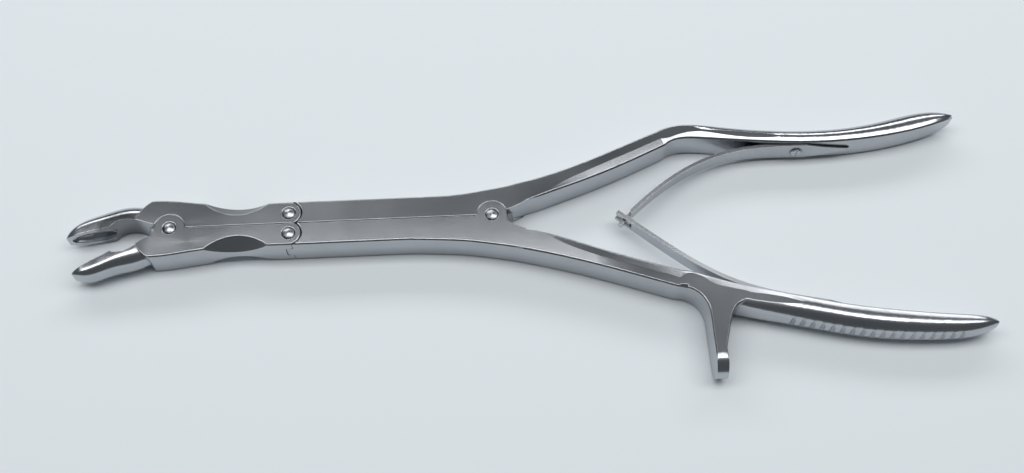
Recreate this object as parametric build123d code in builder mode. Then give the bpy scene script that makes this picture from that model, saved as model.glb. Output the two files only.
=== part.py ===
# Double-action rongeur: two cupped jaws worked by two sprung handles through four pivots.
# Frame: X runs along the instrument with the jaws at -X, Y points to the upper handle and
# Z goes up through the stock. The origin lies on the main pivot's axis, on the rest plane.
# The jaws stand fully open, with the straight inner edges of all four arms closed on the split.

import os
from math import cos
from math import degrees
from math import radians
from math import sin
from math import sqrt

from build123d import *

os.makedirs("parts", exist_ok=True)

# Stock and joint layers
thickness = 9.0
cheek = 2.7
side_play = 0.05
split_gap = 0.2
edge_break = 0.35

# Pivot places
link_x = -53.2
link_offset = 2.9
jaw_x = -84.1

# Pivot sizes
pin_radius = 1.55
pin_play = 0.03
jaw_pin_play = 0.1
pin_dome = 0.4
pin_countersink = 0.25
boss_radius = 3.9
end_radius = 3.4
tongue_radius = 5.6
turn_play = 0.12

# Jaw boxes
shoulder_radius = 9.4
waist_x = -66.5
waist_half = 6.25
flare_x = -77.2
upper_flare = 7.2
lower_flare = 6.95
upper_shoulder_angle = 117.0
lower_shoulder_angle = 240.0
scoop_half_length = 8.3
scoop_depth = 2.3

# Jaw rims: angle to the X axis and height of the rim line over the jaw pivot
upper_rim_angle = 9.5
upper_rim_height = 3.86
lower_rim_angle = 27.5
lower_rim_height = 2.13
beak_length = 26.8
beak_flat = 0.33
rim_allowance = 0.3
cup_half_length = 6.0
cup_depth = 2.6
cup_wall = 1.1

# Handle bars, in sections from the main pivot to the tip
root_width = 6.1
arm_width = 5.2
knee_width = 4.8
upper_grip_width = 5.7
lower_grip_width = 6.3
bar_root_x = 9.0
edge_flat = 0.4
arm_corner = 0.5
arm_crown = 0.1
inner_fall = 0.3
fall_length = 20.0
grip_flat = 0.3
grip_crown = 0.6
back_flat = 0.6
trim_allowance = 0.08

# Finger spur
spur_x = 53.9
spur_width = 3.0
spur_end = -46.6
spur_nose = 5.3

# Grip ribs
rib_count = 18
rib_start = 8.4
rib_pitch = 2.55
rib_radius = 0.65
rib_depth = 0.5
rib_low = 1.6
rib_high = 7.0

# Leaf springs
leaf_thickness = 1.0
leaf_seat = 0.08
leaf_root_height = 6.2
leaf_tip_height = 3.7
leaf_tail_height = 0.8
leaf_tail_length = 12.0
leaf_recess = 0.5
recess_play = 0.3
tongue_height = 1.4
tongue_length = 4.2
fork_play = 0.2
cross_x = 35.6
cross_y = -1.0

# Spring screws
screw_radius = 0.95
screw_head_radius = 1.5
screw_head_height = 0.5
screw_head_break = 0.15
screw_depth = 3.2
screw_play = 0.03
screw_slot = 0.4
upper_screw_x = 84.8
lower_screw_x = 81.9

mid = thickness / 2
over_mid = mid + trim_allowance
half_gap = split_gap / 2
tongue_low = cheek + side_play
tongue_high = thickness - tongue_low
leaf_center = leaf_recess - leaf_seat - leaf_thickness / 2
slot_high = thickness - cheek
cup_reach = beak_length - cup_wall - cup_half_length
end_chord = sqrt(end_radius**2 - (link_offset - half_gap) ** 2)
arm_half = link_offset + end_radius

UPPER = 1
LOWER = -1


def disc(x, y, radius):
    """Plan view of a round boss, pocket or hole."""
    with BuildSketch() as shape:
        with Locations((x, y)):
            Circle(radius)
    return shape.sketch


def plate(x_low, x_high, y_low, y_high):
    """Plan view of a rectangle between two corners."""
    with BuildSketch() as shape:
        with Locations(((x_low + x_high) / 2, (y_low + y_high) / 2)):
            Rectangle(x_high - x_low, y_high - y_low)
    return shape.sketch


def layer(shape, low, high, mode=Mode.ADD):
    """Extrude a plan view between two heights of the part being built."""
    extrude(shape.moved(Location((0, 0, low))), amount=high - low, mode=mode)


def face_pockets(shape):
    """Cut a plan view into the top and bottom faces, to the depth of a fork's cheek."""
    layer(shape, 0, tongue_low, Mode.SUBTRACT)
    layer(shape, tongue_high, thickness, Mode.SUBTRACT)


def pin_hole(x, y, play):
    """Bore a pivot hole right through, with a small countersink at each face."""
    layer(disc(x, y, pin_radius + play), 0, thickness, Mode.SUBTRACT)
    for height, outward in ((0, 1), (thickness, -1)):
        with BuildSketch(Plane((x, y, height), z_dir=(0, 0, outward))) as rim:
            Circle(pin_radius + play + pin_countersink)
        extrude(rim.sketch, amount=pin_countersink, taper=45, mode=Mode.SUBTRACT)


def rim_angle(side):
    """Angle between a jaw's rim line and the X axis."""
    return radians(upper_rim_angle if side == UPPER else lower_rim_angle)


def rim_height(side):
    """Distance of a jaw's rim line above the jaw pivot."""
    return upper_rim_height if side == UPPER else lower_rim_height


def rim_point(side, reach, depth):
    """Plan point at a reach along a jaw's rim line and a depth behind it."""
    angle = rim_angle(side)
    offset = rim_height(side) + side * depth
    x = jaw_x - reach * cos(angle) - offset * sin(angle)
    y = -reach * sin(angle) + offset * cos(angle)
    return (x, y)


def d_section(plane, depth, half_height, flat, drop, crown, fall):
    """Cross-section of a bar: broken inner edges, a face that rises to a flat, and round backs.

    The corners of the back start at the flat and end at the drop. A small crown makes them
    plain bevels, and a larger one fills them out.
    """
    with BuildSketch(plane) as section:
        with BuildLine():
            for up in (1, -1):
                Line((0, up * (half_height - fall - edge_flat)), (edge_flat, up * (half_height - fall)))
                Bezier(
                    (edge_flat, up * (half_height - fall)),
                    ((edge_flat + flat) / 2, up * half_height),
                    (flat, up * half_height),
                )
                Bezier(
                    (flat, up * half_height),
                    (flat + (depth - flat) * crown, up * half_height),
                    (depth, up * (half_height - drop * (1 - crown))),
                    (depth, up * (half_height - drop)),
                )
            Line((0, edge_flat + fall - half_height), (0, half_height - fall - edge_flat))
            Line((depth, drop - half_height), (depth, half_height - drop))
        make_face()
    return section.sketch


def beak_section(side, reach, depth, half_height):
    """Cross-section of a jaw's beak: flat by the rim and rounded at the back."""
    angle = rim_angle(side)
    x, y = rim_point(side, reach, -rim_allowance)
    behind = Vector(-sin(angle), cos(angle)) * side
    plane = Plane((x, y, mid), x_dir=behind, z_dir=(-cos(angle), -sin(angle), 0))
    full_depth = depth + rim_allowance
    drop = half_height - back_flat / 2
    flat = edge_flat + beak_flat * (full_depth - edge_flat)
    return d_section(plane, full_depth, half_height, flat, drop, grip_crown, 0)


def cup_profile(side):
    """Half of the cup's long section, closed along the rim line."""
    near = rim_point(side, cup_reach - cup_half_length, 0)
    far = rim_point(side, cup_reach + cup_half_length, 0)
    with BuildSketch(Plane.XY.offset(mid)) as section:
        with BuildLine():
            EllipticalCenterArc(
                rim_point(side, cup_reach, 0),
                cup_half_length,
                cup_depth,
                start_angle=0 if side == UPPER else 180,
                arc_size=180,
                rotation=degrees(rim_angle(side)),
            )
            Line(near, far)
        make_face()
    return section.sketch


def cut_cup(side):
    """Hollow the beak behind its rim with a spoon-shaped cup."""
    angle = rim_angle(side)
    x, y = rim_point(side, cup_reach, 0)
    long_axis = Axis((x, y, mid), (cos(angle), sin(angle), 0))
    revolve(cup_profile(side), axis=long_axis, revolution_arc=360, mode=Mode.SUBTRACT)


def jaw_box(side):
    """Plan view of a jaw behind its beak, from the shoulder arc to the round link end."""
    shoulder = radians(upper_shoulder_angle if side == UPPER else lower_shoulder_angle)
    flare = upper_flare if side == UPPER else lower_flare
    corner = (jaw_x + shoulder_radius * cos(shoulder), shoulder_radius * sin(shoulder))
    heel = (jaw_x - sqrt(shoulder_radius**2 - half_gap**2), side * half_gap)
    bulge = radians(180 - side * 25)
    with BuildSketch() as shape:
        with BuildLine():
            Line(heel, (link_x + end_chord, side * half_gap))
            ThreePointArc(
                (link_x + end_chord, side * half_gap),
                (link_x + end_radius * sqrt(0.5), side * (link_offset + end_radius * sqrt(0.5))),
                (link_x, side * arm_half),
            )
            Spline(
                (link_x, side * arm_half),
                (waist_x, side * waist_half),
                (flare_x, side * flare),
                corner,
                tangents=((-1, 0), (-1, 0)),
            )
            ThreePointArc(
                corner,
                (jaw_x + shoulder_radius * cos(bulge), shoulder_radius * sin(bulge)),
                heel,
            )
        make_face()
    return shape.sketch


def break_outer_edges(part, side):
    """Break the long edges of an arm's outer side, on both faces."""
    faces = part.faces().filter_by(Axis.Z)
    edges = faces.edges().filter_by(lambda edge: side * edge.center().Y > arm_half - 0.6)
    chamfer(edges, edge_break)


def cut_scoops(side):
    """Hollow the outer edges of a jaw at its waist, on both faces."""
    radius = (scoop_half_length**2 + scoop_depth**2) / (2 * scoop_depth)
    lift = (radius - scoop_depth) / sqrt(2)
    for face, height in ((-1, 0), (1, thickness)):
        plane = Plane(
            (waist_x, side * (waist_half + lift), height + face * lift),
            x_dir=(1, 0, 0),
            z_dir=(0, side, -face),
        )
        with BuildSketch(plane) as shape:
            Circle(radius)
        extrude(shape.sketch, amount=thickness, both=True, mode=Mode.SUBTRACT)


def link_slot(side):
    """Cut the slot of a jaw's fork, in which the handle's tongue turns."""
    edge = link_offset + 2 * end_radius
    layer(disc(link_x, side * link_offset, end_radius + turn_play), cheek, slot_high, Mode.SUBTRACT)
    layer(plate(link_x, link_x + 2 * end_radius, -edge, edge), cheek, slot_high, Mode.SUBTRACT)


def link_tongue(side):
    """Turn the front end of a handle into a round tongue between two cheek pockets."""
    y = side * link_offset
    face_pockets(disc(link_x, y, end_radius + turn_play))
    with BuildSketch() as shape:
        with Locations((link_x, y)):
            Circle(end_radius)
        with Locations((link_x, side * (half_gap + end_radius))):
            Rectangle(3 * end_radius, 2 * end_radius, mode=Mode.INTERSECT)
    layer(shape.sketch, tongue_low, tongue_high)
    pin_hole(link_x, y, pin_play)


def outward(side, heading):
    """Direction from a handle's inner face to its back."""
    return Vector(-sin(radians(heading)), cos(radians(heading))) * side


def bar_section(side, x, y, heading, depth, half_height, roundness):
    """Cross-section of a handle, square to its heading, with its inner face at x, y."""
    forward = (cos(radians(heading)), sin(radians(heading)), 0)
    plane = Plane((x, y, mid), x_dir=outward(side, heading), z_dir=forward)
    drop = arm_corner + roundness * (half_height - back_flat / 2 - arm_corner)
    grip_edge = edge_flat + grip_flat * (depth - edge_flat)
    flat = grip_edge + (1 - roundness) * (depth - arm_corner - grip_edge)
    crown = arm_crown + min(1, 2 * roundness) * (grip_crown - arm_crown)
    fall = inner_fall * min(1, (x - bar_root_x) / fall_length)
    return d_section(plane, depth, half_height, flat, drop, crown, fall)


def off_face(side, station, distance):
    """Plan point at a distance behind a handle's inner face, or before it if negative."""
    point = Vector(station[0], station[1]) + outward(side, station[2]) * distance
    return (point.X, point.Y)


# Stations along each handle: x and y of the inner face, heading, depth, half height and
# roundness of the back, from a plain bar at 0 to a full D-shaped grip at 1.
upper_arm = [
    (bar_root_x, 3.5, 19.0, root_width, over_mid, 0),
    (18.7, 7.0, 19.5, arm_width, over_mid, 0),
    (29.9, 11.1, 21.5, arm_width, over_mid, 0),
    (41.5, 16.1, 23.5, arm_width - 0.1, over_mid, 0),
    (48.0, 19.1, 23.0, knee_width, over_mid, 0),
]
upper_seat = (upper_screw_x, 18.4, -2.5, upper_grip_width - 0.8, 4.4, 1)
upper_bend = (97.5, 18.45, 2.5, upper_grip_width - 0.6, 4.3, 1)
upper_grip = [
    upper_arm[-1],
    (55.5, 21.15, -3.0, knee_width, over_mid, 0.4),
    (66.0, 20.0, -5.5, upper_grip_width - 0.8, over_mid, 0.85),
    upper_seat,
    upper_bend,
    (109.5, 19.65, 9.0, upper_grip_width, 4.2, 1),
    (120.5, 21.95, 14.0, upper_grip_width + 0.1, 3.9, 1),
    (126.4, 23.9, 21.0, upper_grip_width - 1.5, 3.4, 1),
    (130.0, 25.7, 34.0, upper_grip_width - 4.4, 2.2, 1),
]
lower_arm = [
    (bar_root_x, -4.6, -17.0, root_width - 0.2, over_mid, 0),
    (17.6, -7.1, -19.0, arm_width + 0.5, over_mid, 0),
    (27.8, -11.0, -20.5, arm_width - 0.2, over_mid, 0),
    (37.8, -14.7, -20.0, arm_width - 0.4, over_mid, 0),
    (48.0, -18.2, -18.5, arm_width - 0.2, over_mid, 0),
]
lower_seat = (lower_screw_x, -27.8, -13.5, lower_grip_width, 4.45, 1)
lower_bend = (95.5, -30.75, -10.5, lower_grip_width + 0.1, 4.4, 1)
lower_grip = [
    lower_arm[-1],
    (58.2, -21.4, -17.5, lower_grip_width - 0.8, over_mid, 0.35),
    (69.0, -24.5, -15.5, lower_grip_width - 0.1, over_mid, 0.75),
    lower_seat,
    lower_bend,
    (110.0, -32.85, -6.0, lower_grip_width - 0.5, 4.2, 1),
    (121.0, -33.9, -6.0, lower_grip_width - 1.6, 3.8, 1),
    (125.6, -34.5, -9.0, lower_grip_width - 3.1, 3.2, 1),
    (128.0, -35.2, -14.0, lower_grip_width - 4.9, 2.3, 1),
]

# Plan routes of the leaf springs, from the crossed tips to the tails. Each lies on the line
# that its recess in the handle follows.
upper_route = [
    (cross_x - 1.7, cross_y - 1.7),
    (39.9, 3.0),
    (48.6, 9.7),
    (57.5, 14.6),
    (67.0, 17.5),
    off_face(UPPER, upper_seat, leaf_center),
    off_face(UPPER, upper_bend, leaf_center),
    (100.4, 18.65),
]
lower_route = [
    (cross_x - 2.2, cross_y + 1.7),
    (41.0, -5.9),
    (48.4, -12.2),
    (56.6, -18.2),
    (63.0, -21.75),
    off_face(LOWER, lower_grip[2], leaf_center - 0.2),
    off_face(LOWER, lower_seat, leaf_center),
    off_face(LOWER, lower_bend, leaf_center),
    (98.2, -31.25),
]


def rib_centers():
    """Centers of the groove cutters, evenly spaced along the back of the lower grip."""
    back_line = Spline(*[off_face(LOWER, station, station[3]) for station in lower_grip[2:7]])
    centers = []
    for rib in range(rib_count):
        distance = rib_start + rib * rib_pitch
        point = back_line.position_at(distance, position_mode=PositionMode.LENGTH)
        forward = back_line.tangent_at(distance, position_mode=PositionMode.LENGTH)
        lift = rib_radius - rib_depth
        centers.append((point.X + forward.Y * lift, point.Y - forward.X * lift))
    return centers


def bar(side, stations):
    """Loft one run of a handle through its stations."""
    loft([bar_section(side, *station) for station in stations])


def trim_to_stock():
    """Cut the part being built flush with both faces of the stock."""
    layer(plate(2 * jaw_x, -2 * jaw_x, 2 * jaw_x, -2 * jaw_x), 0, thickness, Mode.INTERSECT)


def screw_plane(side, seat, distance):
    """Plane across a spring screw's axis, at a distance before the handle's inner face."""
    x, y = off_face(side, seat, -distance)
    return Plane((x, y, mid), z_dir=outward(side, seat[2]) * -1)


def screw_bore(side, seat, radius, low, high):
    """Bore along a spring screw's axis between two distances before the inner face."""
    with BuildSketch(screw_plane(side, seat, low)) as shape:
        Circle(radius)
    extrude(shape.sketch, amount=high - low, mode=Mode.SUBTRACT)


def leaf_strip(route, x_root, play):
    """Bend a leaf along its route and taper its height towards the tip and the tail.

    Play makes it thicker by the seat's gap and taller by the recess's, to cut the recess.
    """
    x_tip = route[0][0] - leaf_thickness
    x_tail = route[-1][0] - leaf_thickness + play
    width = leaf_thickness + (2 * leaf_seat if play else 0)
    with BuildSketch(Plane.XY) as strip:
        with BuildLine():
            Spline(*route)
        trace(line_width=width)
    extrude(strip.sketch, amount=thickness)
    outline = [
        (x_tip, leaf_tip_height / 2 + play),
        (x_root, leaf_root_height / 2 + play),
        (x_tail - leaf_tail_length, leaf_root_height / 2 + play),
        (x_tail, leaf_tail_height / 2 + play),
    ]
    with BuildSketch(Plane.XZ) as face:
        with BuildLine():
            Polyline(
                *[(x, mid + height) for x, height in outline],
                *[(x, mid - height) for x, height in reversed(outline)],
                close=True,
            )
        make_face()
    extrude(face.sketch, amount=10 * thickness, both=True, mode=Mode.INTERSECT)


def pivot_pin(x, y):
    """A riveted pivot: flush at the back and slightly domed at the front."""
    with BuildSketch(Plane((x, y, 0), x_dir=(1, 0, 0), z_dir=(0, -1, 0))) as section:
        with BuildLine():
            Polyline((0, thickness + pin_dome), (0, 0), (pin_radius, 0), (pin_radius, thickness))
            TangentArc((0, thickness + pin_dome), (pin_radius, thickness), tangent=(1, 0))
        make_face()
    revolve(section.sketch, axis=Axis((x, y, 0), (0, 0, 1)), revolution_arc=360)


with BuildPart() as upper_jaw:
    layer(jaw_box(UPPER), 0, thickness)
    break_outer_edges(upper_jaw, UPPER)
    loft(
        [
            beak_section(UPPER, 3.0, 5.1, 4.0),
            beak_section(UPPER, 9.5, 6.0, 4.1),
            beak_section(UPPER, beak_length - 11.8, 5.8, 3.9),
            beak_section(UPPER, beak_length - 6.8, 5.0, 3.6),
            beak_section(UPPER, beak_length - 2.3, 3.3, 3.0),
            beak_section(UPPER, beak_length - 0.9, 2.1, 2.4),
            beak_section(UPPER, beak_length, 0.9, 1.7),
        ]
    )
    with BuildSketch() as mouth:
        with BuildLine():
            Spline(
                rim_point(UPPER, 15.2, 0),
                rim_point(UPPER, 13.4, 1.15),
                rim_point(UPPER, 10.8, 1.35),
                rim_point(UPPER, 8.4, 0.6),
                (jaw_x - boss_radius - 0.2, 1.3),
            )
            Polyline(
                (jaw_x - boss_radius - 0.2, 1.3),
                (jaw_x, 1.3),
                (jaw_x, -3 * thickness),
                (jaw_x - 2 * beak_length, -3 * thickness),
                rim_point(UPPER, 2 * beak_length, 0),
                rim_point(UPPER, 15.2, 0),
            )
        make_face()
    layer(mouth.sketch, 0, thickness, Mode.SUBTRACT)
    cut_cup(UPPER)
    cut_scoops(UPPER)
    face_pockets(disc(jaw_x, 0, boss_radius + turn_play))
    layer(disc(jaw_x, 0, tongue_radius), tongue_low, tongue_high)
    layer(disc(jaw_x, 0, pin_radius + jaw_pin_play), tongue_low, tongue_high, Mode.SUBTRACT)
    link_slot(UPPER)
    pin_hole(link_x, link_offset, pin_play)
upper_jaw.part.label = "upper_jaw"
export_step(upper_jaw.part, "parts/upper_jaw.step")

with BuildPart() as lower_jaw:
    layer(jaw_box(LOWER), 0, thickness)
    break_outer_edges(lower_jaw, LOWER)
    loft(
        [
            beak_section(LOWER, 6.5, 7.6, 4.0),
            beak_section(LOWER, 10.5, 6.3, 4.1),
            beak_section(LOWER, beak_length - 11.3, 5.1, 3.9),
            beak_section(LOWER, beak_length - 6.3, 4.1, 3.6),
            beak_section(LOWER, beak_length - 2.2, 2.9, 3.0),
            beak_section(LOWER, beak_length - 0.9, 1.9, 2.4),
            beak_section(LOWER, beak_length, 0.9, 1.7),
        ]
    )
    with BuildSketch() as mouth:
        with BuildLine():
            Spline(
                rim_point(LOWER, 15.9, 0),
                rim_point(LOWER, 13.8, 1.6),
                rim_point(LOWER, 12.2, 2.0),
                rim_point(LOWER, 9.9, 1.9),
                rim_point(LOWER, 7.6, 1.6),
                rim_point(LOWER, 4.8, 1.85),
            )
            Polyline(
                rim_point(LOWER, 4.8, 1.85),
                (jaw_x - boss_radius + 0.9, -1.2),
                (jaw_x - boss_radius + 0.9, 3 * thickness),
                (jaw_x - 2 * beak_length, 3 * thickness),
                rim_point(LOWER, 2 * beak_length, 0),
                rim_point(LOWER, 15.9, 0),
            )
        make_face()
    layer(mouth.sketch, 0, thickness, Mode.SUBTRACT)
    cut_cup(LOWER)
    cut_scoops(LOWER)
    layer(disc(jaw_x, 0, boss_radius), 0, thickness)
    layer(disc(jaw_x, 0, tongue_radius + turn_play), cheek, slot_high, Mode.SUBTRACT)
    pin_hole(jaw_x, 0, pin_play)
    link_slot(LOWER)
    pin_hole(link_x, -link_offset, pin_play)
lower_jaw.part.label = "lower_jaw"
export_step(lower_jaw.part, "parts/lower_jaw.step")

with BuildPart() as upper_recess:
    leaf_strip(upper_route, upper_screw_x, recess_play)

with BuildPart() as lower_recess:
    leaf_strip(lower_route, lower_screw_x, recess_play)

with BuildPart() as spur:
    with BuildSketch(Plane.XY.offset(mid)) as outline:
        with BuildLine():
            Polyline(
                (spur_x, spur_end),
                (spur_x, -31.0),
            )
            Spline(
                (spur_x, -31.0),
                (spur_x - 1.0, -26.7),
                (spur_x - 4.9, -23.4),
                tangents=((0, 1), (-0.94, 0.34)),
            )
            Polyline(
                (spur_x - 4.9, -23.4),
                (spur_x - 3.9, -21.0),
                (spur_x + 11.0, -25.2),
                (spur_x + 12.0, -27.2),
            )
            Spline(
                (spur_x + 12.0, -27.2),
                (spur_x + 8.2, -28.3),
                (spur_x + spur_width + 2.2, -32.4),
                tangents=((-0.96, -0.28), (-0.28, -0.96)),
            )
            Polyline(
                (spur_x + spur_width + 2.2, -32.4),
                (spur_x + spur_width, -40.0),
                (spur_x + spur_width, spur_end),
                (spur_x, spur_end),
            )
        make_face()
    extrude(amount=mid, both=True)
    sides = spur.faces().filter_by(Axis.Z).edges().filter_by(lambda edge: edge.center().Y < -25.5)
    chamfer(sides, edge_break)
    with BuildSketch(Plane.YZ.offset(spur_x + spur_width / 2)) as nose:
        with Locations((spur_end + spur_nose / 2, mid)):
            Rectangle(spur_nose, 2 * thickness)
        with Locations((spur_end + spur_nose, mid)):
            Ellipse(spur_nose, mid, mode=Mode.SUBTRACT)
    extrude(nose.sketch, amount=2 * spur_width, both=True, mode=Mode.SUBTRACT)

with BuildPart() as upper_handle:
    back = off_face(UPPER, upper_arm[0], root_width)
    with BuildSketch() as front:
        with BuildLine():
            Polyline(
                (link_x, arm_half),
                (link_x, half_gap),
                (0, half_gap),
                (boss_radius + 0.4, 1.4),
                upper_arm[0][:2],
                back,
            )
            Spline(
                back,
                (0, 7.8),
                (-6.5, 6.8),
                (-14.0, arm_half),
                tangents=(outward(UPPER, 109), (-1, 0)),
            )
            Line((-14.0, arm_half), (link_x, arm_half))
        make_face()
    layer(front.sketch, 0, thickness)
    break_outer_edges(upper_handle, UPPER)
    bar(UPPER, upper_arm)
    bar(UPPER, upper_grip)
    trim_to_stock()
    face_pockets(disc(0, 0, boss_radius + turn_play))
    layer(disc(0, 0, tongue_radius), tongue_low, tongue_high)
    layer(disc(0, 0, pin_radius + pin_play), 0, thickness, Mode.SUBTRACT)
    link_tongue(UPPER)
    add(upper_recess.part, mode=Mode.SUBTRACT)
    screw_bore(UPPER, upper_seat, screw_radius + screw_play, -screw_depth - screw_play, leaf_thickness)
upper_handle.part.label = "upper_handle"
export_step(upper_handle.part, "parts/upper_handle.step")

with BuildPart() as lower_handle:
    back = off_face(LOWER, lower_arm[0], root_width - 0.2)
    with BuildSketch() as front:
        with BuildLine():
            Polyline(
                (link_x, -arm_half),
                (link_x, -half_gap),
                (boss_radius, -half_gap),
                (boss_radius, -1.9),
                (boss_radius + 1, -2.8),
                lower_arm[0][:2],
                back,
            )
            Spline(
                back,
                (0, -8.7),
                (-6.1, -7.6),
                (-14.0, -6.85),
                (-24.0, -arm_half),
                tangents=(outward(LOWER, -107), (-1, 0)),
            )
            Line((-24.0, -arm_half), (link_x, -arm_half))
        make_face()
    layer(front.sketch, 0, thickness)
    break_outer_edges(lower_handle, LOWER)
    bar(LOWER, lower_arm)
    bar(LOWER, lower_grip)
    trim_to_stock()
    add(spur.part)
    with BuildSketch() as ribs:
        with Locations(*rib_centers()):
            Circle(rib_radius)
    layer(ribs.sketch, rib_low, rib_high, Mode.SUBTRACT)
    layer(disc(0, 0, boss_radius), 0, thickness)
    layer(disc(0, 0, tongue_radius + turn_play), cheek, slot_high, Mode.SUBTRACT)
    pin_hole(0, 0, pin_play)
    link_tongue(LOWER)
    add(lower_recess.part, mode=Mode.SUBTRACT)
    screw_bore(LOWER, lower_seat, screw_radius + screw_play, -screw_depth - screw_play, leaf_thickness)
lower_handle.part.label = "lower_handle"
export_step(lower_handle.part, "parts/lower_handle.step")

for name, x, y in (
    ("jaw_pivot_pin", jaw_x, 0),
    ("upper_link_pin", link_x, link_offset),
    ("lower_link_pin", link_x, -link_offset),
    ("main_pivot_pin", 0, 0),
):
    with BuildPart() as pin:
        pivot_pin(x, y)
    pin.part.label = name
    export_step(pin.part, "parts/" + name + ".step")

slot_half = tongue_height / 2 + fork_play

with BuildPart() as lower_leaf_spring:
    leaf_strip(lower_route, lower_screw_x, 0)
    slot = plate(cross_x - tongue_length, cross_x + tongue_length / 3, -thickness, thickness)
    layer(slot, mid - slot_half, mid + slot_half, Mode.SUBTRACT)
    screw_bore(LOWER, lower_seat, screw_radius + screw_play, -1, 2 * leaf_thickness)
lower_leaf_spring.part.label = "lower_leaf_spring"
export_step(lower_leaf_spring.part, "parts/lower_leaf_spring.step")

with BuildPart() as upper_leaf_spring:
    leaf_strip(upper_route, upper_screw_x, 0)
    shank = plate(cross_x - tongue_length, cross_x + tongue_length / 3, -thickness, thickness)
    layer(shank, 0, mid - tongue_height / 2, Mode.SUBTRACT)
    layer(shank, mid + tongue_height / 2, thickness, Mode.SUBTRACT)
    screw_bore(UPPER, upper_seat, screw_radius + screw_play, -1, 2 * leaf_thickness)
upper_leaf_spring.part.label = "upper_leaf_spring"
export_step(upper_leaf_spring.part, "parts/upper_leaf_spring.step")

for name, side, seat in (
    ("upper_spring_screw", UPPER, upper_seat),
    ("lower_spring_screw", LOWER, lower_seat),
):
    under_head = leaf_seat + leaf_thickness + screw_play - leaf_recess
    with BuildPart() as screw:
        with BuildSketch(screw_plane(side, seat, under_head)):
            Circle(screw_head_radius)
        extrude(amount=screw_head_height)
        chamfer(screw.edges().sort_by(Axis.Y)[0 if side == UPPER else -1], screw_head_break)
        with BuildSketch(screw_plane(side, seat, under_head + screw_head_height)):
            Rectangle(screw_slot, 2 * screw_head_radius)
        extrude(amount=-screw_head_height / 2, mode=Mode.SUBTRACT)
        with BuildSketch(screw_plane(side, seat, under_head)):
            Circle(screw_radius)
        extrude(amount=-(under_head + screw_depth))
    screw.part.label = name
    export_step(screw.part, "parts/" + name + ".step")
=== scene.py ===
# Looks for the double-action rongeur: satin steel jaws and handles, turned pivot pins and two
# ground leaf springs cut across into short strips, lying on a pale table under long soft lights.

from math import cos, pi, radians, sin

import bmesh
import bpy
from mathutils import Matrix, Vector


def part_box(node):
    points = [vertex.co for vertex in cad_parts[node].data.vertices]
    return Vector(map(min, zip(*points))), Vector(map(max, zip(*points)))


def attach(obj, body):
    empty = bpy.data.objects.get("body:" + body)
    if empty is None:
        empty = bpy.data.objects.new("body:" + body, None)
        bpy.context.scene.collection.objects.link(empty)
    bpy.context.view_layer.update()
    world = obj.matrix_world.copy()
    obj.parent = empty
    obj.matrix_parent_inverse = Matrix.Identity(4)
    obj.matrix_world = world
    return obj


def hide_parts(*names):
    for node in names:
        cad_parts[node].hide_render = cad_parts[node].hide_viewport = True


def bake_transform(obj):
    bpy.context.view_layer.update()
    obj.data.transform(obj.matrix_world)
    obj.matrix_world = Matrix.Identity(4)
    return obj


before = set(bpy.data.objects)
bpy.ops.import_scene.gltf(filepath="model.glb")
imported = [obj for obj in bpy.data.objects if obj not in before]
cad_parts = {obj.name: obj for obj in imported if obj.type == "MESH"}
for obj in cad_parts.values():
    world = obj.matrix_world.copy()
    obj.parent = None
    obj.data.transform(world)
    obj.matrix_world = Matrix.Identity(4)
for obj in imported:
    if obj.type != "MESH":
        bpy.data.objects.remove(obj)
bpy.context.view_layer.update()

MM = 0.001
UP = (0.0, 0.0, 1.0)

# Camera, fitted to the photograph: its place over the table, its turn and its lens
CAMERA_PLACE = Vector((-6.75, -139.87, 277.0)) * MM
CAMERA_TILT = radians(26.5)
CAMERA_HEADING = radians(4.996)
CAMERA_ROLL = radians(2.0)
CAMERA_CLIP = 0.01
FOCAL_PIXELS = 1150
IMAGE_WIDTH = 1024
SENSOR_WIDTH = 36.0

# Table, and the dim room that the steel reflects
TABLE_SIZE = 3.0
TABLE_COLOR = (0.84, 0.895, 0.93)
TABLE_ROUGHNESS = 0.7
TABLE_SPECULAR = 0.2
ROOM_COLOR = (0.80, 0.86, 0.90)
ROOM_LEVEL = 0.13

# Long soft lights: name, degrees from +Y over the zenith, distance, length, width and radiance
LIGHTS = [
    ("overhead", 85.0, 0.90, 1.8, 0.40, 3.2),
    ("behind", 34.0, 0.95, 1.8, 0.22, 3.2),
]

# Steel: its finish's dark and light, edge wear with a painted highlight, painted shade, and each finish's
# tone
STEEL_DARK = (0.84, 0.875, 0.935)
STEEL_LIGHT = (0.97, 1.0, 1.05)
STEEL_WORN_LIT_EDGE = (0.80, 0.83, 0.86)
PAINTED_SHADE_COLOR = (0.045, 0.048, 0.055)
BODY_TONE = 0.54
LEAF_TONE = 0.52
TURNED_TONE = 0.6

# Noises of the finishes: scale, detail and roughness, and the part of their range that is used
GRAIN_NOISE = (9000.0, 2.0, 0.6)
MOTTLE_NOISE = (90.0, 4.0, 0.55)
BROAD_NOISE = (22.0, 2.0, 0.5)
STAIN_NOISE = (1400.0, 3.0, 0.6)
NOISE_RANGE = (0.3, 0.7)

# Satin steel: its grain, its edges lightened by wear and a painted highlight, and painted shade in
# crevices
GRAIN_STRETCH = (0.04, 1.0, 1.0)
GRAIN_RELIEF = 0.5
MOTTLE_RELIEF = 0.15
RELIEF_DEPTH = 0.0018 * MM
SATIN_SAMPLES = 8
ROUGHNESS_SPREAD = 0.03
SATIN_ANISOTROPY = 0.35
EDGE_FACING = (0.93, 0.998)
EDGE_WEAR_AND_HIGHLIGHT = 0.6
CREVICE_REACH = 0.9 * MM
CREVICE_OPENNESS = (0.42, 0.97)
CREVICE_PAINTED_SHADE = 0.9
CREVICE_ROUGHNESS = 0.2

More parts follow.
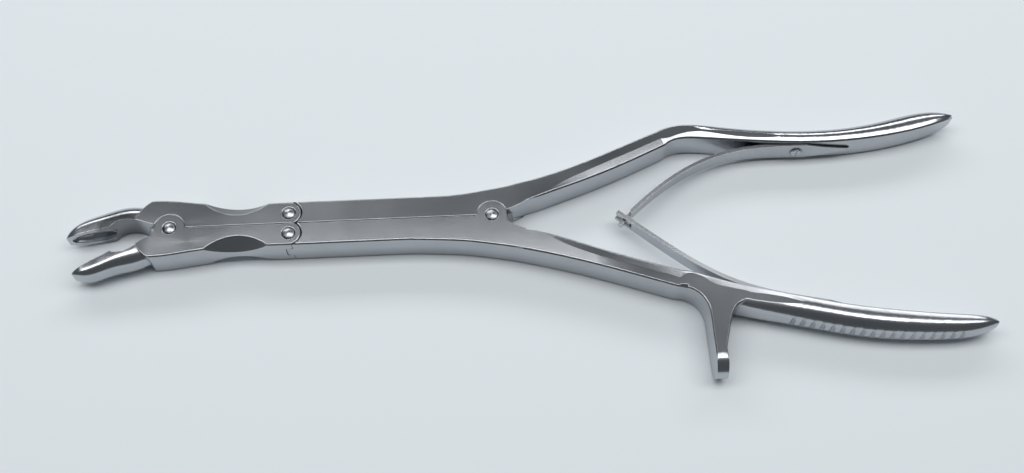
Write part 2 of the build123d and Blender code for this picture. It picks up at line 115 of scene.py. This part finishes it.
# Turned steel: its rings, and the fan of light and dark that is painted over them
RING_PITCH = 0.11 * MM
RING_DEPTH = 0.003 * MM
RING_STRENGTH = 0.6
RING_EDGE = 0.12 * MM
TURNED_SAMPLES = 6
FAN_TURN = 0.6
FAN_DARK = 0.30
FAN_SPREAD = 0.7
FAN_BREAKUP = 0.4
TURNED_ROUGHNESS = (0.22, 0.34)
TURNED_ANISOTROPY = 0.85

# How far the ground faces lean towards -Y in their shading: pairs of X in mm and degrees. The last
# line is how level a face has to be, from no lean to all of it
UPPER_JAW_LEANS = ((-90, 1.0), (-60, 1.1))
LOWER_JAW_LEANS = ((-94, -3.0), (-89, 1.6), (-78, 2.0), (-60, 1.6))
UPPER_HANDLE_LEANS = ((-50, 1.5), (-10, 1.1), (12, 0.4), (25, 0.0), (75, 0.5))
LOWER_HANDLE_LEANS = ((-50, 2.6), (26, 2.2), (32, -0.8), (46, -5.0))
LEANING_FACES = (0.96, 0.99)

# Hollows of the upper jaw, its scoop and its cup, given painted shade for their dark reflection: X, Y,
# radius in mm, and strength. The core is the share of the radius at full strength, and the shade fades out
# below the top face
UPPER_HOLLOWS = ((-67.5, 8.0, 9.0, 0.8), (-97.0, -1.0, 7.0, 0.6))
HOLLOW_CORE = 0.8
HOLLOW_TOP = (8.75 * MM, 8.95 * MM)

# Where each leaf spring leaves its seat, and the length of the strips it is cut into up to there
LEAF_LEAVES_SEAT = 64.0 * MM
LEAF_CUT = 1.2 * MM

# The fine groove across the handles: at each end, its floor's corner and the face's corner, in mm
GROOVES = {
    "upper_handle": (((9.0, 3.5), (8.9, 3.8)), ((7.02, 9.23), (7.14, 8.9))),
    "lower_handle": (((9.0, -4.6), (8.91, -4.91)), ((7.28, -10.22), (7.39, -9.87))),
}
GROOVE_DEPTH = 0.35 * MM
GROOVE_REACH = 0.05 * MM
COLLAPSED_AREA = 1e-12
LEVEL_FACE = 0.9999

# The pins' axes, in mm
PIVOTS = {
    "jaw_pivot_pin": (-84.1, 0.0),
    "upper_link_pin": (-53.2, 2.9),
    "lower_link_pin": (-53.2, -2.9),
    "main_pivot_pin": (0.0, 0.0),
}


def add_to_scene(name, data):
    """A new object in the scene."""
    thing = bpy.data.objects.new(name, data)
    bpy.context.scene.collection.objects.link(thing)
    return thing


def place_camera():
    """Stand the camera where the photograph was taken from."""
    along = sin(CAMERA_TILT)
    forward = Vector((along * sin(CAMERA_HEADING), along * cos(CAMERA_HEADING), -cos(CAMERA_TILT)))
    level_right = Vector((cos(CAMERA_HEADING), -sin(CAMERA_HEADING), 0.0))
    level_down = forward.cross(level_right)
    right = cos(CAMERA_ROLL) * level_right - sin(CAMERA_ROLL) * level_down
    down = sin(CAMERA_ROLL) * level_right + cos(CAMERA_ROLL) * level_down
    lens = bpy.data.cameras.new("camera")
    lens.sensor_width = SENSOR_WIDTH
    lens.lens = FOCAL_PIXELS * SENSOR_WIDTH / IMAGE_WIDTH
    lens.clip_start = CAMERA_CLIP
    camera = add_to_scene("camera", lens)
    turn = Matrix((right, -down, -forward)).transposed()
    camera.matrix_world = Matrix.Translation(CAMERA_PLACE) @ turn.to_4x4()
    bpy.context.scene.camera = camera


def add_light(name, angle, distance, length, width, radiance):
    """Hang a long rectangular light that runs along X and faces the instrument."""
    light = bpy.data.lights.new(name, "AREA")
    light.shape = "RECTANGLE"
    light.size = length
    light.size_y = width
    light.energy = radiance * pi * length * width
    lamp = add_to_scene(name, light)
    away = Vector((0.0, cos(radians(angle)), sin(radians(angle))))
    lamp.location = away * distance
    across = Vector((1.0, 0.0, 0.0))
    lamp.rotation_euler = Matrix((across, away.cross(across), away)).transposed().to_euler()


def rgba(color, tone=1.0):
    """A colour times a tone, as a node's colour socket takes it."""
    return (*[c * tone for c in color], 1.0)


class Nodes:
    """Short calls for building a material's node tree."""

    def __init__(self, name):
        self.material = bpy.data.materials.new(name)
        self.material.use_nodes = True
        self.tree = self.material.node_tree
        self.shader = self.tree.nodes["Principled BSDF"]

    def add(self, kind, **settings):
        """A new node, with its settings."""
        node = self.tree.nodes.new("ShaderNode" + kind)
        for key, value in settings.items():
            setattr(node, key, value)
        return node

    def put(self, socket, value):
        """Link a socket to another, or set its value."""
        if isinstance(value, bpy.types.NodeSocket):
            self.tree.links.new(value, socket)
        else:
            socket.default_value = value

    def fill(self, node, values):
        """Put values into a node's first sockets."""
        for socket, value in zip(node.inputs, values):
            self.put(socket, value)
        return node

    def math(self, operation, *values):
        """An operation on numbers."""
        return self.fill(self.add("Math", operation=operation), values).outputs[0]

    def vector(self, operation, *values):
        """An operation on vectors, which gives a number or a vector."""
        node = self.fill(self.add("VectorMath", operation=operation), values)
        gives_number = operation in ("LENGTH", "DOT_PRODUCT", "DISTANCE")
        return node.outputs["Value" if gives_number else "Vector"]

    def split(self, vector):
        """A vector's parts."""
        return self.fill(self.add("SeparateXYZ"), (vector,)).outputs

    def noise(self, place, scale, detail, roughness):
        """Noise at a place, from 0 to 1."""
        node = self.add("TexNoise")
        self.put(node.inputs["Vector"], place)
        node.inputs["Scale"].default_value = scale
        node.inputs["Detail"].default_value = detail
        node.inputs["Roughness"].default_value = roughness
        return node.outputs["Fac"]

    def between(self, fac, low, high, from_low=0.0, from_high=1.0):
        """A value taken from one range to another, and held inside it."""
        return self.fill(self.add("MapRange"), (fac, from_low, from_high, low, high)).outputs["Result"]

    def mix(self, fac, first, second):
        """A colour between two others."""
        node = self.add("Mix", data_type="RGBA")
        self.put(node.inputs[0], fac)
        self.put(node.inputs[6], first)
        self.put(node.inputs[7], second)
        return node.outputs[2]

    def bump(self, height, distance, strength, normal):
        """A normal with relief of a given depth."""
        node = self.add("Bump")
        node.inputs["Strength"].default_value = strength
        node.inputs["Distance"].default_value = distance
        self.put(node.inputs["Height"], height)
        self.put(node.inputs["Normal"], normal)
        return node.outputs["Normal"]

    def rounded(self, radius, samples):
        """The normal with the edges rounded."""
        node = self.add("Bevel", samples=samples)
        node.inputs["Radius"].default_value = radius
        return node.outputs["Normal"]


def leaning(n, normal, place, leans):
    """Lean the normals of the ground top faces towards -Y, by degrees that change along X."""
    along = n.split(place)["X"]
    slope = -radians(leans[0][1])
    for (start, first), (end, last) in zip(leans, leans[1:]):
        step = n.between(along, 0.0, radians(first - last), start * MM, end * MM)
        slope = n.math("ADD", slope, step)
    up = n.vector("DOT_PRODUCT", normal, UP)
    lean = n.add("CombineXYZ")
    n.put(lean.inputs["Y"], n.math("MULTIPLY", slope, n.between(up, 0.0, 1.0, *LEANING_FACES)))
    return n.vector("NORMALIZE", n.vector("ADD", normal, lean.outputs[0]))


def painted_hollow_shade(n, place, hollows):
    """How much painted shade, standing in for dark reflection, each point in the hollows gets below the
    top face.
    """
    flat = n.vector("MULTIPLY", place, (1.0, 1.0, 0.0))
    height = n.vector("DOT_PRODUCT", place, UP)
    total = 0.0
    for x, y, radius, strength in hollows:
        away = n.vector("DISTANCE", flat, (x * MM, y * MM, 0.0))
        near = n.between(away, strength, 0.0, HOLLOW_CORE * radius * MM, radius * MM)
        total = n.math("ADD", total, near)
    return n.math("MULTIPLY", total, n.between(height, 1.0, 0.0, *HOLLOW_TOP))


def steel(name, tone, grain_turn=0.0, leans=(), hollows=(), roughness=0.2, grain=1.0, edge_radius=0.2):
    """Satin steel: grinding lines along the piece, painted shade in crevices, edges lit by wear and
    painted highlight.
    """
    n = Nodes(name)
    place = n.add("TexCoord").outputs["Object"]
    along = n.add("Mapping", vector_type="POINT")
    n.put(along.inputs["Vector"], place)
    along.inputs["Rotation"].default_value = (0.0, 0.0, grain_turn)
    along.inputs["Scale"].default_value = GRAIN_STRETCH
    lines = n.noise(along.outputs["Vector"], *GRAIN_NOISE)
    mottle = n.noise(place, *MOTTLE_NOISE)
    broad = n.noise(place, *BROAD_NOISE)

    normal = n.rounded(edge_radius * MM, SATIN_SAMPLES)
    facing = n.vector("DOT_PRODUCT", normal, n.add("NewGeometry").outputs["Normal"])
    # The occlusion finds the crevices, which get painted shade in the base colour
    sky = n.add("AmbientOcclusion", samples=SATIN_SAMPLES)
    sky.inputs["Distance"].default_value = CREVICE_REACH
    crevice = n.between(sky.outputs["AO"], 1.0, 0.0, *CREVICE_OPENNESS)
    open_place = n.math("SUBTRACT", 1.0, crevice)
    # Edges lightened in the base colour: partly wear, partly a painted highlight
    worn_lit_edge = n.math("MULTIPLY", n.between(facing, 1.0, 0.0, *EDGE_FACING), open_place)

    mottled = n.between(mottle, 0.0, 1.0, *NOISE_RANGE)
    body = n.mix(mottled, rgba(STEEL_DARK, tone), rgba(STEEL_LIGHT, tone))
    worn_and_lit = n.mix(n.math("MULTIPLY", worn_lit_edge, EDGE_WEAR_AND_HIGHLIGHT), body, rgba(STEEL_WORN_LIT_EDGE))
    # Painted shade: crevices, and any hollows given, darkened towards the shade colour
    painted_shade = n.math("MULTIPLY", crevice, CREVICE_PAINTED_SHADE)
    if hollows:
        painted_shade = n.math("MAXIMUM", painted_shade, painted_hollow_shade(n, place, hollows))
    n.put(n.shader.inputs["Base Color"], n.mix(painted_shade, worn_and_lit, rgba(PAINTED_SHADE_COLOR)))
    n.shader.inputs["Metallic"].default_value = 1.0
    n.shader.inputs["Anisotropic"].default_value = SATIN_ANISOTROPY

    level = n.between(broad, roughness - ROUGHNESS_SPREAD, roughness + ROUGHNESS_SPREAD, *NOISE_RANGE)
    spread = ROUGHNESS_SPREAD * grain
    level = n.math("ADD", level, n.between(lines, -spread, spread))
    level = n.math("ADD", level, n.math("MULTIPLY", crevice, CREVICE_ROUGHNESS))
    n.put(n.shader.inputs["Roughness"], level)

    if leans:
        normal = leaning(n, normal, place, leans)
    fine = n.math("MULTIPLY", lines, GRAIN_RELIEF * grain)
    height = n.math("ADD", fine, n.math("MULTIPLY", mottle, MOTTLE_RELIEF))
    n.put(n.shader.inputs["Normal"], n.bump(height, RELIEF_DEPTH, 1.0, normal))
    return n.material


def turned_steel(name, center, axis):
    """Turned steel: fine rings round the piece's own axis, and a fan of light that is partly painted."""
    n = Nodes(name)
    place = n.add("TexCoord").outputs["Object"]
    around = n.vector("CROSS_PRODUCT", axis, n.vector("SUBTRACT", place, tuple(center)))
    radius = n.vector("LENGTH", around)
    rings = n.math("SINE", n.math("MULTIPLY", radius, 2 * pi / RING_PITCH))
    stain = n.noise(place, *STAIN_NOISE)

    parts = n.split(around)
    angle = n.math("ARCTAN2", parts["Y"], parts["X"])
    fan = n.math("SINE", n.math("ADD", n.math("MULTIPLY", angle, 2.0), FAN_TURN))
    # Noise breaks up the painted fan of light and dark
    fan = n.math("ADD", fan, n.between(stain, -FAN_BREAKUP, FAN_BREAKUP, *NOISE_RANGE))
    lit = n.between(fan, 0.0, 1.0, -FAN_SPREAD, FAN_SPREAD)
    body = n.mix(lit, rgba(STEEL_DARK, FAN_DARK * TURNED_TONE), rgba(STEEL_LIGHT, TURNED_TONE))
    n.put(n.shader.inputs["Base Color"], body)
    n.shader.inputs["Metallic"].default_value = 1.0
    n.shader.inputs["Anisotropic"].default_value = TURNED_ANISOTROPY
    n.put(n.shader.inputs["Roughness"], n.between(stain, *TURNED_ROUGHNESS, *NOISE_RANGE))

    turn = n.add("VectorTransform", vector_type="VECTOR", convert_from="OBJECT", convert_to="WORLD")
    n.put(turn.inputs[0], around)
    n.put(n.shader.inputs["Tangent"], n.vector("NORMALIZE", turn.outputs[0]))
    edges = n.rounded(RING_EDGE, TURNED_SAMPLES)
    n.put(n.shader.inputs["Normal"], n.bump(rings, RING_DEPTH, RING_STRENGTH, edges))
    return n.material


def paint(node, material):
    """Give a CAD node its finish through its own material slots."""
    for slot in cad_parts[node].material_slots:
        slot.material = material


def own_copy(node, suffix, material):
    """A copy of a CAD node's own mesh: the piece to show in its place, and a bmesh to change."""
    piece = add_to_scene(node + suffix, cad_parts[node].data.copy())
    piece.data.materials.clear()
    piece.data.materials.append(material)
    mesh = bmesh.new()
    mesh.from_mesh(piece.data)
    return piece, mesh


def closed_groove(node, body, material):
    """A handle's own mesh, with the fine groove across both of its faces closed."""
    handle, mesh = own_copy(node, "_closed", material)
    data = handle.data
    # The CAD's shading goes by face corners: it is read here, and put back on the faces that stay
    shading = [[data.corner_normals[i].vector.copy() for i in face.loop_indices] for face in data.polygons]
    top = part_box(node)[1].z
    for floor, face in ((top - GROOVE_DEPTH, top), (GROOVE_DEPTH, 0.0)):
        for (start_x, start_y), (end_x, end_y) in GROOVES[node]:
            low = Vector((start_x * MM, start_y * MM, floor))
            high = Vector((end_x * MM, end_y * MM, face))
            corner = min(mesh.verts, key=lambda vertex: (vertex.co - high).length)
            for vertex in mesh.verts:
                if (vertex.co - low).length < GROOVE_REACH:
                    vertex.co = corner.co
    collapsed = [face for face in mesh.faces if face.calc_area() < COLLAPSED_AREA]
    for face in reversed(collapsed):
        del shading[face.index]
    bmesh.ops.delete(mesh, geom=collapsed, context="FACES_ONLY")
    mesh.to_mesh(data)
    mesh.free()
    for face, normals in zip(data.polygons, shading):
        if abs(face.normal.z) > LEVEL_FACE:
            normals[:] = [face.normal] * len(normals)
    data.normals_split_custom_set([normal for normals in shading for normal in normals])
    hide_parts(node)
    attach(handle, body)


def bending_leaf(node, material):
    """A leaf spring's own mesh, cut across into short strips up to where it leaves its seat, shown in
    place of the CAD node.
    """
    leaf, mesh = own_copy(node, "_strip", material)
    low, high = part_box(node)
    x = low.x + LEAF_CUT
    while x < LEAF_LEAVES_SEAT:
        everything = mesh.verts[:] + mesh.edges[:] + mesh.faces[:]
        bmesh.ops.bisect_plane(mesh, geom=everything, plane_co=(x, 0, 0), plane_no=(1, 0, 0))
        x += LEAF_CUT
    mesh.to_mesh(leaf.data)
    mesh.free()
    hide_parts(node)
    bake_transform(leaf)


def build_table():
    """A pale table, which fills the photo's view. From low down its far edge is seen."""
    mesh = bmesh.new()
    bmesh.ops.create_grid(mesh, x_segments=1, y_segments=1, size=TABLE_SIZE / 2)
    data = bpy.data.meshes.new("table")
    mesh.to_mesh(data)
    mesh.free()
    table = add_to_scene("table", data)
    n = Nodes("table")
    n.shader.inputs["Base Color"].default_value = rgba(TABLE_COLOR)
    n.shader.inputs["Roughness"].default_value = TABLE_ROUGHNESS
    n.shader.inputs["Specular IOR Level"].default_value = TABLE_SPECULAR
    data.materials.append(n.material)


def build_room():
    """A room that is bright where the camera sees it, and dim for all that the steel reflects."""
    world = bpy.data.worlds.new("room")
    world.use_nodes = True
    bpy.context.scene.world = world
    tree = world.node_tree
    background = tree.nodes["Background"]
    background.inputs["Color"].default_value = rgba(ROOM_COLOR)
    seen = tree.nodes.new("ShaderNodeLightPath").outputs["Is Camera Ray"]
    level = tree.nodes.new("ShaderNodeMapRange")
    tree.links.new(seen, level.inputs["Value"])
    level.inputs["To Min"].default_value = ROOM_LEVEL
    level.inputs["To Max"].default_value = 1.0
    tree.links.new(level.outputs["Result"], background.inputs["Strength"])


place_camera()
build_table()
build_room()
for light in LIGHTS:
    add_light(*light)

# The upper jaw's scoop and cup get painted shade for their dark reflection
paint("upper_jaw", steel("steel_upper_jaw", BODY_TONE, 0.0, UPPER_JAW_LEANS, UPPER_HOLLOWS))
paint("lower_jaw", steel("steel_lower_jaw", BODY_TONE, radians(-8), LOWER_JAW_LEANS))
upper_steel = steel("steel_upper_handle", BODY_TONE, radians(-5), UPPER_HANDLE_LEANS)
lower_steel = steel("steel_lower_handle", BODY_TONE, radians(14), LOWER_HANDLE_LEANS)
closed_groove("upper_handle", "upper_grip", upper_steel)
closed_groove("lower_handle", "lower_grip", lower_steel)
for pin, (x, y) in PIVOTS.items():
    paint(pin, turned_steel("turned_" + pin, (x * MM, y * MM, 0.0), UP))
for screw in ("upper_spring_screw", "lower_spring_screw"):
    low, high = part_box(screw)
    paint(screw, turned_steel("turned_" + screw, (low + high) / 2, (0.0, 1.0, 0.0)))
leaf_steel = steel("steel_leaf", LEAF_TONE, roughness=0.26, grain=1.3, edge_radius=0.10)
bending_leaf("upper_leaf_spring", leaf_steel)
bending_leaf("lower_leaf_spring", leaf_steel)

bpy.context.scene.view_settings.view_transform = "Standard"
